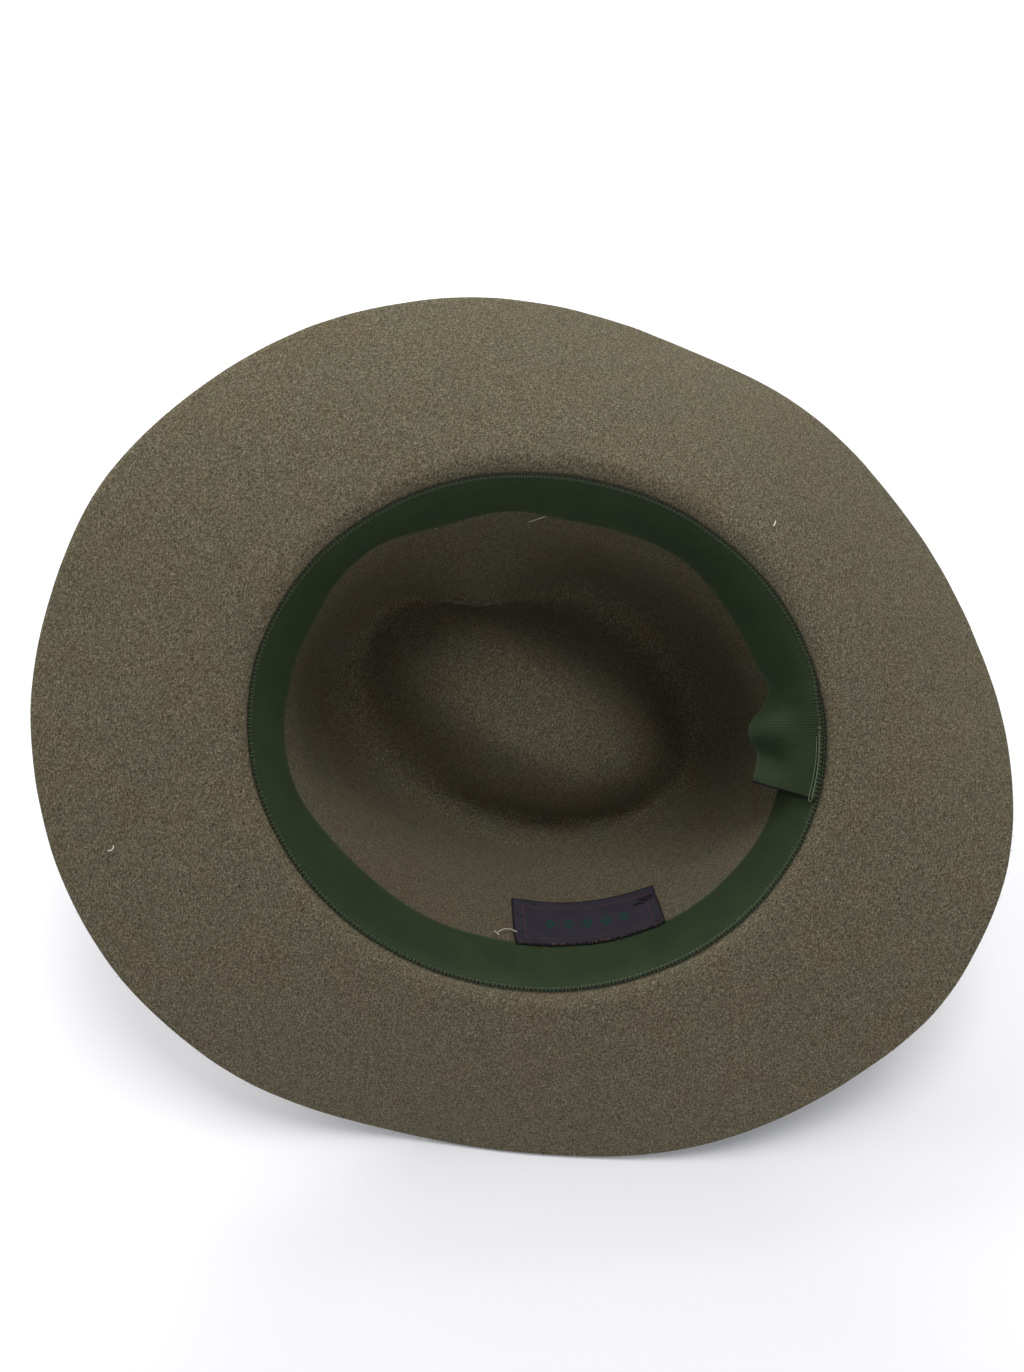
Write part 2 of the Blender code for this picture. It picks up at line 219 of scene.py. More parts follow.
def thicken(sheet: bpy.types.Object, thickness: float) -> None:
    """Give an open sheet its thickness to both sides, with its normals outwards.

    Args:
        sheet: the cloth's middle surface.
        thickness: the cloth's thickness in metres.
    """
    apply_modifier(sheet, 'SOLIDIFY', thickness=thickness, offset=0.0, use_even_offset=True)
    pick(sheet)
    bpy.ops.object.mode_set(mode='EDIT')
    bpy.ops.mesh.select_all(action='SELECT')
    bpy.ops.mesh.normals_make_consistent(inside=False)
    bpy.ops.object.mode_set(mode='OBJECT')
    bpy.ops.object.shade_smooth_by_angle(angle=ROUND_BELOW)


def dress(piece: bpy.types.Object, skin: bpy.types.Material) -> None:
    """Give a piece its material and its place on the hat's body.

    Args:
        piece: the finished piece.
        skin: its material.
    """
    piece.data.materials.clear()
    piece.data.materials.append(skin)
    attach(piece, BODY)
    LOG.info("%s: %d faces", piece.name, len(piece.data.polygons))


def merged_copy(node: str, name: str) -> bpy.types.Object:
    """Copy a CAD node, merge its loose triangles and pair them into quads.

    Args:
        node: the CAD node's name.
        name: the copy's name.

    Returns:
        The copy, at the origin with its place in its mesh.
    """
    piece = new_object(name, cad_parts[node].data.copy())
    pick(piece)
    bpy.ops.mesh.customdata_custom_splitnormals_clear()
    bpy.ops.object.mode_set(mode='EDIT')
    bpy.ops.mesh.select_all(action='SELECT')
    bpy.ops.mesh.remove_doubles(threshold=MERGE_WITHIN)
    bpy.ops.mesh.tris_convert_to_quads(face_threshold=math.pi, shape_threshold=math.pi,
                                        topology_influence=1.5)
    bpy.ops.object.mode_set(mode='OBJECT')
    return piece


def thread_piece(name: str, paths: list[list[Vector]], radius: float, shape: Shape,
                 sides: int = 6) -> bpy.types.Object:
    """Make threads along paths, joined into one mesh.

    Args:
        name: the piece's name.
        paths: the points of each thread.
        radius: half the thread's thickness in metres.
        shape: how the points are joined.
        sides: faces round a thread.

    Returns:
        The piece, at the origin with its place in its mesh.
    """
    curve = bpy.data.curves.new(name, 'CURVE')
    curve.dimensions = '3D'
    curve.bevel_depth = radius
    curve.bevel_resolution = (sides - 4) // 2
    curve.use_fill_caps = True
    curve.resolution_u = 3
    for path in paths:
        spline = curve.splines.new(shape.value)
        spline.points.add(len(path) - 1)
        for point, place in zip(spline.points, path):
            point.co = (*place, 1.0)
        if shape is Shape.SMOOTH:
            spline.order_u = min(4, len(path))
            spline.use_endpoint_u = True
    piece = bpy.data.objects.new(name, curve)
    bpy.context.scene.collection.objects.link(piece)
    pick(piece)
    bpy.ops.object.convert(target='MESH')
    bpy.ops.object.shade_smooth()
    return bpy.context.object


# ---- materials ----


def add_node(tree: bpy.types.NodeTree, kind: str,
             values: dict[str | int, object] | None = None) -> bpy.types.NodeOutputs:
    """Add a node with its settings and links.

    Args:
        tree: the material's nodes.
        kind: the node's type, without the ShaderNode that all types start with.
        values: settings and sources, by socket name, socket number or field name.

    Returns:
        The new node's outputs.
    """
    made = tree.nodes.new("ShaderNode" + kind)
    for key, value in (values or {}).items():
        if isinstance(value, Socket):
            tree.links.new(value, made.inputs[key])
        elif isinstance(key, int) or key in made.inputs:
            made.inputs[key].default_value = value
        else:
            setattr(made, key, value)
    return made.outputs


def start_material(name: str, roughness: float, sheen: float, sheen_tint: str,
                   specular: float) -> tuple[bpy.types.Material, bpy.types.NodeTree, bpy.types.Node]:
    """Start a cloth material with its plain values on the shader's own sockets.

    Args:
        name: the material's name.
        roughness: how far it scatters light.
        sheen: strength of the fuzz at its edges.
        sheen_tint: the fuzz's colour.
        specular: level of its gloss.

    Returns:
        The material, its nodes and its shader.
    """
    made = bpy.data.materials.new(name)
    made.use_nodes = True
    tree = made.node_tree
    shader = tree.nodes["Principled BSDF"]
    shader.inputs["Roughness"].default_value = roughness
    shader.inputs["Sheen Weight"].default_value = sheen
    shader.inputs["Sheen Roughness"].default_value = 0.45
    shader.inputs["Sheen Tint"].default_value = linear(sheen_tint)
    shader.inputs["Specular IOR Level"].default_value = specular
    shader.inputs["Metallic"].default_value = 0.0
    return made, tree, shader


@dataclass(frozen=True)
class BrushedFelt:
    """Blocked wool felt, brushed: matted fibres, mottled olive brown, no gloss."""

    name: str = "brushed_wool_felt"
    base: str = "#615945"
    dark_fibre: str = "#2A261E"
    pale_fibre: str = "#9A927B"
    green_cast: str = "#5C5C49"
    brown_cast: str = "#665945"
    grain_mm: float = 0.7       # size of the matted tufts
    fibre_mm: float = 0.34      # a wool fibre is 0.03 mm; drawn coarser so that it shows
    mottle_mm: float = 19.0     # patches where the dye took differently
    cast_share: float = 0.6
    fibre_ways: tuple[float, ...] = (0.35, 1.45, 2.50)
    fibre_stretch: float = 3.2

    def build(self) -> bpy.types.Material:
        """Make the material from noise on Object coordinates."""
        made, tree, shader = start_material(self.name, 0.95, 0.16, "#B7B09A", 0.12)
        place = add_node(tree, "TexCoord")["Object"]
        mottle = add_node(tree, "TexNoise", {
            "Vector": place, "Scale": 1.0 / (self.mottle_mm * MM), "Detail": 3.0,
            "Roughness": 0.55})[0]
        grain = add_node(tree, "TexNoise", {
            "Vector": place, "Scale": 1.0 / (self.grain_mm * MM), "Detail": 3.0,
            "Roughness": 0.65, "Distortion": 0.6})[0]
        streaks = []
        for turn in self.fibre_ways:
            laid = add_node(tree, "Mapping", {
                "vector_type": 'TEXTURE', "Vector": place, "Scale": (self.fibre_stretch, 1.0, 1.0),
                "Rotation": (0.5 * turn, -0.4 * turn, turn)})[0]
            streaks.append(add_node(tree, "TexNoise", {
                "Vector": laid, "Scale": 1.0 / (self.fibre_mm * MM), "Detail": 2.0,
                "Distortion": 0.6})[0])
        pale = dark = streaks[0]
        for streak in streaks[1:]:
            pale = add_node(tree, "Math", {"operation": 'MAXIMUM', 0: pale, 1: streak})[0]
            dark = add_node(tree, "Math", {"operation": 'MINIMUM', 0: dark, 1: streak})[0]
        pale = add_node(tree, "MapRange", {0: pale, 1: 0.57, 2: 0.72, 3: 0.0, 4: 0.95})[0]
        dark = add_node(tree, "MapRange", {0: dark, 1: 0.44, 2: 0.28})[0]
        cast = add_node(tree, "MapRange", {0: mottle, 1: 0.35, 2: 0.65})[0]
        tufts = add_node(tree, "MapRange", {0: grain, 1: 0.34, 2: 0.66, 3: 0.80, 4: 1.20})[0]
        casts = add_node(tree, "Mix", {"data_type": 'RGBA', 0: cast, 6: linear(self.brown_cast),
                                       7: linear(self.green_cast)})[2]
        body = add_node(tree, "Mix", {"data_type": 'RGBA', 0: self.cast_share,
                                      6: linear(self.base), 7: casts})[2]
        body = add_node(tree, "VectorMath", {"operation": 'SCALE', 0: body, 3: tufts})[0]
        for share, fibre in ((dark, self.dark_fibre), (pale, self.pale_fibre)):
            body = add_node(tree, "Mix", {"data_type": 'RGBA', 0: share, 6: body,
                                          7: linear(fibre)})[2]
        tree.links.new(body, shader.inputs["Base Color"])
        tufted = add_node(tree, "Math", {"operation": 'MULTIPLY', 0: grain, 1: 0.9})[0]
        combed = add_node(tree, "Math", {"operation": 'SUBTRACT', 0: pale, 1: dark})[0]
        relief = add_node(tree, "Math", {"operation": 'ADD', 0: tufted, 1: combed})[0]
        bump = add_node(tree, "Bump", {"Height": relief, "Strength": 0.55, "Distance": 0.00022})[0]
        tree.links.new(bump, shader.inputs["Normal"])
        return made


@dataclass(frozen=True)
class LooseFibre:
    """Single wool fibres that stand out of the felt, each a little lighter or darker."""

    name: str = "loose_wool_fibre"
    dark: str = "#3A352B"
    pale: str = "#8F8874"

    def build(self) -> bpy.types.Material:
        """Make the material, its tone read from each fibre's own value."""
        made, tree, shader = start_material(self.name, 0.85, 0.2, "#C4BDA8", 0.15)
        tone = add_node(tree, "Attribute", {"attribute_name": "tone"})["Fac"]
        body = add_node(tree, "Mix", {"data_type": 'RGBA', 0: tone, 6: linear(self.dark),
                                      7: linear(self.pale)})[2]
        tree.links.new(body, shader.inputs["Base Color"])
        return made


@dataclass(frozen=True)
class Grosgrain:
    """Cotton and rayon grosgrain: fine cross ribs, a looped selvedge, a dull silky sheen."""

    width: float
    name: str = "ribbed_grosgrain"
    groove: str = "#212A1A"
    crest: str = "#39492F"
    loop: str = "#5D6C4F"
    seam: str = "#141A0F"
    rib_mm: float = 0.9
    loop_from_mm: float = 0.15
    loop_to_mm: float = 0.95
    seam_wide_mm: float = 0.35
    seam_share: float = 0.8
    patches_per_m: float = 70.0     # worn patches about 14 mm wide
    yarns_per_m: float = 2600.0     # spun yarns about 0.4 mm thick

    def build(self) -> bpy.types.Material:
        """Make the material on the ribbon's own UV map, which is in metres."""
        made, tree, shader = start_material(self.name, 0.62, 0.22, "#8FA285", 0.3)
        uv = add_node(tree, "UVMap", {"uv_map": "cloth"})[0]
        along, across = add_node(tree, "SeparateXYZ", {0: uv})[:2]
        turns = add_node(tree, "Math", {"operation": 'MULTIPLY', 0: along,
                                        1: 2 * math.pi / (self.rib_mm * MM)})[0]
        wave = add_node(tree, "Math", {"operation": 'SINE', 0: turns})[0]
        rib = add_node(tree, "Math", {"operation": 'MULTIPLY_ADD', 0: wave, 1: 0.5, 2: 0.5})[0]
        blotch = add_node(tree, "TexNoise", {
            "Vector": uv, "Scale": self.patches_per_m, "Detail": 3.0})[0]
        fine = add_node(tree, "TexNoise", {
            "Vector": uv, "Scale": self.yarns_per_m, "Detail": 1.0})[0]
        ribbed = add_node(tree, "Math", {"operation": 'MULTIPLY', 0: rib, 1: 0.45})[0]
        tone = add_node(tree, "Math", {"operation": 'MULTIPLY_ADD', 0: fine, 1: 0.55,
                                       2: ribbed})[0]
        body = add_node(tree, "Mix", {"data_type": 'RGBA', 0: tone, 6: linear(self.groove),
                                      7: linear(self.crest)})[2]
        shade = add_node(tree, "MapRange", {0: blotch, 1: 0.3, 2: 0.7, 3: 0.88, 4: 1.14})[0]
        body = add_node(tree, "VectorMath", {"operation": 'SCALE', 0: body, 3: shade})[0]
        from_free = add_node(tree, "Math", {"operation": 'SUBTRACT', 0: self.width, 1: across})[0]
        edge = add_node(tree, "Math", {"operation": 'MINIMUM', 0: across, 1: from_free})[0]
        in_loop = 1.0
        for place, test, limit in ((edge, 'GREATER_THAN', self.loop_from_mm * MM),
                                   (edge, 'LESS_THAN', self.loop_to_mm * MM),
                                   (rib, 'GREATER_THAN', 0.45)):
            held = add_node(tree, "Math", {"operation": test, 0: place, 1: limit})[0]
            in_loop = add_node(tree, "Math", {"operation": 'MULTIPLY', 0: in_loop, 1: held})[0]
        # The loops show pale along the sewn edge, and hardly along the free one.
        sewn = add_node(tree, "MapRange", {0: across, 1: 0.004, 2: 0.002, 3: 0.25, 4: 0.85})[0]
        pale = add_node(tree, "Math", {"operation": 'MULTIPLY', 0: in_loop, 1: sewn})[0]
        seam = self.seam_share
        for test, limit in (('GREATER_THAN', self.loop_to_mm * MM),
                            ('LESS_THAN', (self.loop_to_mm + self.seam_wide_mm) * MM)):
            held = add_node(tree, "Math", {"operation": test, 0: across, 1: limit})[0]
            seam = add_node(tree, "Math", {"operation": 'MULTIPLY', 0: seam, 1: held})[0]
        for share, yarn in ((pale, self.loop), (seam, self.seam)):
            body = add_node(tree, "Mix", {"data_type": 'RGBA', 0: share, 6: body,
                                          7: linear(yarn)})[2]
        tree.links.new(body, shader.inputs["Base Color"])
        relief = add_node(tree, "Math", {"operation": 'MULTIPLY_ADD', 0: in_loop, 1: 0.8,
                                         2: rib})[0]
        bump = add_node(tree, "Bump", {"Height": relief, "Strength": 0.35, "Distance": 0.00014})[0]
        tree.links.new(bump, shader.inputs["Normal"])
        return made


@dataclass(frozen=True)
class WovenLabel:
    """Damask label: flat polyester weave with a dull rust border and small green lozenges."""

    length: float
    height: float
    name: str = "damask_label_weave"
    base: str = "#3E3843"
    dark: str = "#2F2A35"
    cut: str = "#17141C"
    rust: str = "#603D39"
    green: str = "#17423A"
    thread_mm: float = 0.7      # threads are 0.25 mm apart; drawn wider so that they show
    border_mm: float = 4.2
    border_wide_mm: float = 0.5
    lozenge_step_mm: float = 7.0
    lozenge_half: tuple[float, float] = (0.0021, 0.0034)
    lozenges: int = 5
    patches_per_m: float = 110.0    # faded patches about 9 mm wide

    def build(self) -> bpy.types.Material:
        """Make the material on the label's own UV map, which is in metres."""
        made, tree, shader = start_material(self.name, 0.7, 0.12, "#8C8496", 0.25)
        uv = add_node(tree, "UVMap", {"uv_map": "cloth"})[0]
        along, across = add_node(tree, "SeparateXYZ", {0: uv})[:2]
        waves, edges, middles = [], [], []
        for place, whole in ((along, self.length), (across, self.height)):
            turns = add_node(tree, "Math", {"operation": 'MULTIPLY', 0: place,
                                            1: 2 * math.pi / (self.thread_mm * MM)})[0]
            waves.append(add_node(tree, "Math", {"operation": 'SINE', 0: turns})[0])
            back = add_node(tree, "Math", {"operation": 'SUBTRACT', 0: whole, 1: place})[0]
            edges.append(add_node(tree, "Math", {"operation": 'MINIMUM', 0: place, 1: back})[0])
            middles.append(add_node(tree, "Math", {"operation": 'SUBTRACT', 0: place,
                                                   1: whole / 2})[0])
        crossed = add_node(tree, "Math", {"operation": 'MULTIPLY', 0: waves[0], 1: waves[1]})[0]
        weave = add_node(tree, "Math", {"operation": 'MULTIPLY_ADD', 0: crossed, 1: 0.5,
                                        2: 0.5})[0]
        body = add_node(tree, "Mix", {"data_type": 'RGBA', 0: weave, 6: linear(self.dark),
                                      7: linear(self.base)})[2]
        blotch = add_node(tree, "TexNoise", {
            "Vector": uv, "Scale": self.patches_per_m, "Detail": 3.0})[0]
        shade = add_node(tree, "MapRange", {0: blotch, 1: 0.3, 2: 0.7, 3: 0.88, 4: 1.15})[0]
        body = add_node(tree, "VectorMath", {"operation": 'SCALE', 0: body, 3: shade})[0]
        edge = add_node(tree, "Math", {"operation": 'MINIMUM', 0: edges[0], 1: edges[1]})[0]
        line = add_node(tree, "Math", {"operation": 'COMPARE', 0: edge, 1: self.border_mm * MM,
                                       2: self.border_wide_mm * MM / 2})[0]
        rust = add_node(tree, "Math", {"operation": 'MULTIPLY', 0: line, 1: 0.55})[0]
        cell = self.lozenge_step_mm * MM
        cells = add_node(tree, "Math", {"operation": 'ADD', 0: middles[0], 1: cell / 2})[0]
        cells = add_node(tree, "Math", {"operation": 'FLOORED_MODULO', 0: cells, 1: cell})[0]
        cells = add_node(tree, "Math", {"operation": 'SUBTRACT', 0: cells, 1: cell / 2})[0]
        parts = []
        for place, half in zip((cells, middles[1]), self.lozenge_half):
            away = add_node(tree, "Math", {"operation": 'ABSOLUTE', 0: place})[0]
            parts.append(add_node(tree, "Math", {"operation": 'DIVIDE', 0: away, 1: half})[0])
        size = add_node(tree, "Math", {"operation": 'ADD', 0: parts[0], 1: parts[1]})[0]
        along_middle = add_node(tree, "Math", {"operation": 'ABSOLUTE', 0: middles[0]})[0]
        green = 0.9
        for place, test, limit in ((size, 'LESS_THAN', 1.0), (size, 'GREATER_THAN', 0.35),
                                   (along_middle, 'LESS_THAN', self.lozenges / 2 * cell)):
            held = add_node(tree, "Math", {"operation": test, 0: place, 1: limit})[0]
            green = add_node(tree, "Math", {"operation": 'MULTIPLY', 0: green, 1: held})[0]
        cut = add_node(tree, "MapRange", {0: edge, 1: 0.0009, 2: 0.0003, 3: 0.0, 4: 0.85})[0]
        for share, yarn in ((rust, self.rust), (green, self.green), (cut, self.cut)):
            body = add_node(tree, "Mix", {"data_type": 'RGBA', 0: share, 6: body,
                                          7: linear(yarn)})[2]
        tree.links.new(body, shader.inputs["Base Color"])
        bump = add_node(tree, "Bump", {"Height": weave, "Strength": 0.45, "Distance": 0.00012})[0]
        tree.links.new(bump, shader.inputs["Normal"])
        return made


@dataclass(frozen=True)
class SpunThread:
    """Sewing thread: two plies twisted together, faintly glossy."""

    name: str
    colour: str
    roughness: float = 0.55
    ply_mm: float = 0.3125

    def build(self) -> bpy.types.Material:
        """Make the material, its plies a fine change of tone."""
        made, tree, shader = start_material(self.name, self.roughness, 0.2, self.colour, 0.35)
        place = add_node(tree, "TexCoord")["Object"]
        ply = add_node(tree, "TexNoise", {
            "Vector": place, "Scale": 1.0 / (self.ply_mm * MM), "Detail": 1.0})[0]
        full = linear(self.colour)
        half = (full[0] * 0.6, full[1] * 0.6, full[2] * 0.6, 1.0)
        body = add_node(tree, "Mix", {"data_type": 'RGBA', 0: ply, 6: half, 7: full})[2]
        tree.links.new(body, shader.inputs["Base Color"])
        return made


@dataclass(frozen=True)
class PaleTable:
    """Matt white laminate, faintly cool."""

    name: str = "matt_white_laminate"
    colour: str = "#F9F9FD"

    def build(self) -> bpy.types.Material:
        """Make the plain floor's material."""
        made, tree, shader = start_material(self.name, 0.6, 0.0, "#FFFFFF", 0.2)
        place = add_node(tree, "TexCoord")["Object"]
        cloud = add_node(tree, "TexNoise", {"Vector": place, "Scale": 3.0, "Detail": 2.0})[0]
        full = linear(self.colour)
        less = (full[0] * 0.985, full[1] * 0.985, full[2] * 0.985, 1.0)
        body = add_node(tree, "Mix", {"data_type": 'RGBA', 0: cloud, 6: less, 7: full})[2]
        tree.links.new(body, shader.inputs["Base Color"])
        return made


# ---- cloth read from the CAD solid ----


class ClothGuide:
    """Middle surface of a thin CAD solid as rows and columns, with lengths along both."""

    def __init__(self, node: str, start_side: Vector) -> None:
        """Read the grid of a node.

        Args:
            node: the CAD node's name.
            start_side: direction in which the first column lies, seen from the last.
        """
        shell = merged_copy(node, node + "_read")
        work = bmesh.new()
        work.from_mesh(shell.data)
        corner = next(v for v in work.verts if len(v.link_edges) == 3)
        through = min(corner.link_edges, key=lambda e: e.calc_length())
        skins = [self._skin(v) for v in (corner, through.other_vert(corner))]
        self.grid: Grid = [[(a + b) / 2 for a, b in zip(*rows)] for rows in zip(*skins)]
        work.free()
        bpy.data.objects.remove(shell, do_unlink=True)
        if self._mean(self.grid[0]).dot(OUT_OF_CROWN) < self._mean(self.grid[-1]).dot(OUT_OF_CROWN):
            self.grid.reverse()
        ends = [self._mean([row[k] for row in self.grid]) for k in (0, -1)]
        if (ends[0] - ends[1]).dot(start_side) < 0.0:
            self.grid = [row[::-1] for row in self.grid]
        middle = self.grid[len(self.grid) // 2]
        self.lengths = [0.0]
        for here, there in zip(middle, middle[1:]):
            self.lengths.append(self.lengths[-1] + (there - here).length)
        self.downs = [0.0]
        for upper, lower in zip(self.grid, self.grid[1:]):
            gaps = [(b - a).length for a, b in zip(upper, lower)]
            self.downs.append(self.downs[-1] + sum(gaps) / len(gaps))

    @staticmethod
    def _mean(points: list[Vector]) -> Vector:
        """Middle of some points."""
        return sum(points, Vector()) / len(points)

    @staticmethod
    def _walk(vert: bmesh.types.BMVert, edge: bmesh.types.BMEdge) -> list[bmesh.types.BMVert]:
        """Go straight on from a vertex until the cloth's rim.

        Args:
            vert: where the walk starts.
            edge: the edge that it takes first.

        Returns:
            The vertices that it meets, the first one included.
        """
        met = [vert]
        while True:
            vert = edge.other_vert(vert)
            met.append(vert)
            faces = set(edge.link_faces)
            ahead = [e for e in vert.link_edges if e != edge and not faces & set(e.link_faces)]
            if not ahead:
                return met
            if ahead[0].calc_length() < THROUGH_BELOW and edge.calc_length() > IN_SKIN_ABOVE:
                return met
            edge = ahead[0]

    def _skin(self, corner: bmesh.types.BMVert) -> Grid:
        """Read one skin of the cloth.

        Args:
            corner: one of the skin's corners.

        Returns:
            The skin's points, row by row from that corner.
        """
        through = min(corner.link_edges, key=lambda e: e.calc_length())
        walks = [self._walk(corner, e) for e in corner.link_edges if e != through]
        column = min(walks, key=len)
        rows = []
        for vert in column:
            inside = [e for e in vert.link_edges if e.other_vert(vert) not in column]
            rows.append(self._walk(vert, max(inside, key=lambda e: e.calc_length())))
        return [[vert.co.copy() for vert in row] for row in rows]

    @property
    def length(self) -> float:
        """Length of the cloth along its middle."""
        return self.lengths[-1]

    @property
    def width(self) -> float:
        """Width of the cloth across its rows."""
        return self.downs[-1]

    @staticmethod
    def _find(marks: list[float], value: float) -> tuple[int, float]:
        """Place of a value between two marks.

        Args:
            marks: rising lengths.
            value: a length, which may lie outside them.

        Returns:
            The index of the mark before it, and its share of the way to the next.
        """
        index = 0
        while index < len(marks) - 2 and marks[index + 1] < value:
            index += 1
        return index, (value - marks[index]) / (marks[index + 1] - marks[index])

    def at(self, along: float, down: float, off: float = 0.0) -> Vector:
        """Point on the cloth.

        Args:
            along: length from the first column in metres.
            down: length from the first row in metres.
            off: distance from the middle surface, into the hollow.

        Returns:
            The point, which may lie a little outside the cloth.
        """
        j, s = self._find(self.lengths, along)
        i, t = self._find(self.downs, down)
        a, b = self.grid[i][j], self.grid[i][j + 1]
        c, d = self.grid[i + 1][j], self.grid[i + 1][j + 1]
        point = a.lerp(b, s).lerp(c.lerp(d, s), t)
        face = (b - a).cross(c - a).normalized()
        if face.dot(HOLLOW - point) < 0.0:
            face.negate()
        return point + face * off

    def cloth(self, name: str, levels: int) -> bpy.types.Object:
        """Make the middle surface as a fine mesh with a UV map in metres.

        Args:
            name: the piece's name.
            levels: how often its faces are divided.

        Returns:
            The open sheet.
        """
        rows, columns = len(self.grid), len(self.grid[0])
        mesh = bpy.data.meshes.new(name)
        faces = [(i * columns + j, (i + 1) * columns + j, (i + 1) * columns + j + 1,
                  i * columns + j + 1) for i in range(rows - 1) for j in range(columns - 1)]
        mesh.from_pydata([tuple(p) for row in self.grid for p in row], [], faces)
        layer = mesh.uv_layers.new(name="cloth")
        for loop in mesh.loops:
            i, j = divmod(loop.vertex_index, columns)
            layer.data[loop.index].uv = (self.lengths[j], self.downs[i])
        piece = new_object(name, mesh)
        apply_modifier(piece, 'SUBSURF', levels=levels, render_levels=levels,
                       uv_smooth='PRESERVE_BOUNDARIES', boundary_smooth='PRESERVE_CORNERS')
        return piece


def middle_of_hollow() -> Vector:
    """Point in the middle of the head opening, from the ribbon's box."""
    low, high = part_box("sweatband_ribbon")
    return (low + high) / 2


HOLLOW = middle_of_hollow()


# ---- the hat ----


@dataclass
class FeltBody:
    """Crown and brim in one piece of felt, with its standing fibres."""

    finish: BrushedFelt
    fibre_finish: LooseFibre
    edge_crease: float = 0.45
    fibres: int = 44000
    fibre_length: tuple[float, float] = (0.0009, 0.0026)
    fibre_width: float = 0.00007
    fibre_rise: float = 0.00022
    fibre_root: float = 0.00004
    lowest_fibre: float = 0.00005

    def shell(self) -> bpy.types.Object:
        """Round the CAD felt into a fine surface, its raw brim edge still fairly square."""
        piece = merged_copy("felt_body", "felt_hat")
        work = bmesh.new()
        work.from_mesh(piece.data)
        layer = work.edges.layers.float.new("crease_edge")
        for edge in work.edges:
            if len(edge.link_faces) == 2 and edge.calc_face_angle(0.0) > RAW_EDGE_ABOVE:
                edge[layer] = self.edge_crease
        work.to_mesh(piece.data)
        work.free()
        apply_modifier(piece, 'SUBSURF', levels=2, render_levels=2)
        pick(piece)
        bpy.ops.object.shade_smooth()
        return piece

    def fuzz(self, shell: bpy.types.Object) -> bpy.types.Object:
        """Lay single fibres on the felt.

        Args:
            shell: the finished felt.

        Returns:
            All fibres as one mesh, each a thin bent blade of two faces.
        """
        dice = random.Random(7)
        mesh = shell.data
        polygons = list(mesh.polygons)
        weights, total = [], 0.0
        for polygon in polygons:
            total += polygon.area
            weights.append(total)
        chosen = dice.choices(polygons, cum_weights=weights, k=self.fibres)
        verts, faces, tones = [], [], []
        for polygon in chosen:
            corners = [mesh.vertices[k].co for k in polygon.vertices]
            shares = [dice.random() for _ in corners]
            whole = sum(shares)
            root = sum((c * (s / whole) for c, s in zip(corners, shares)), Vector())
            up = polygon.normal
            way = up.orthogonal().normalized()
            way.rotate(Matrix.Rotation(dice.uniform(0.0, 2 * math.pi), 3, up))
            bend = up.cross(way) * dice.uniform(-0.5, 0.5)
            length = dice.uniform(*self.fibre_length)
            rise = self.fibre_rise * dice.uniform(0.1, 1.0) ** 2
            side = up.cross(way) * (self.fibre_width / 2)
            spine = (root - up * self.fibre_root, root + way * (length * 0.5) + up * rise,
                     root + (way + bend * 0.6).normalized() * length + up * rise * 0.3)
            first = len(verts)
            for point, wide in zip(spine, (1.0, 0.9, 0.4)):
                verts += [point - side * wide, point + side * wide]
            faces += [(first, first + 1, first + 3, first + 2),
                      (first + 2, first + 3, first + 5, first + 4)]
            tones += [dice.random() ** 1.4] * 6
        made = bpy.data.meshes.new("felt_fibres")
        made.from_pydata([(v.x, v.y, max(v.z, self.lowest_fibre)) for v in verts], [], faces)
        tone = made.attributes.new("tone", 'FLOAT', 'POINT')
        tone.data.foreach_set("value", tones)
        return new_object("felt_fibres", made)

    def build(self) -> list[bpy.types.Object]:
        """Make and dress the felt and its fibres."""
        shell = self.shell()
        wear_in(shell)
        fuzz = self.fuzz(shell)
        dress(shell, self.finish.build())
        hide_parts("felt_body")
        dress(fuzz, self.fibre_finish.build())
        return [shell, fuzz]


@dataclass(frozen=True)
class Dent:
    """A soft dent in cloth: place from the upper end and the sewn edge, reach and depth."""

    from_end: float
    down: float
    reach_along: float
    reach_down: float
    depth: float


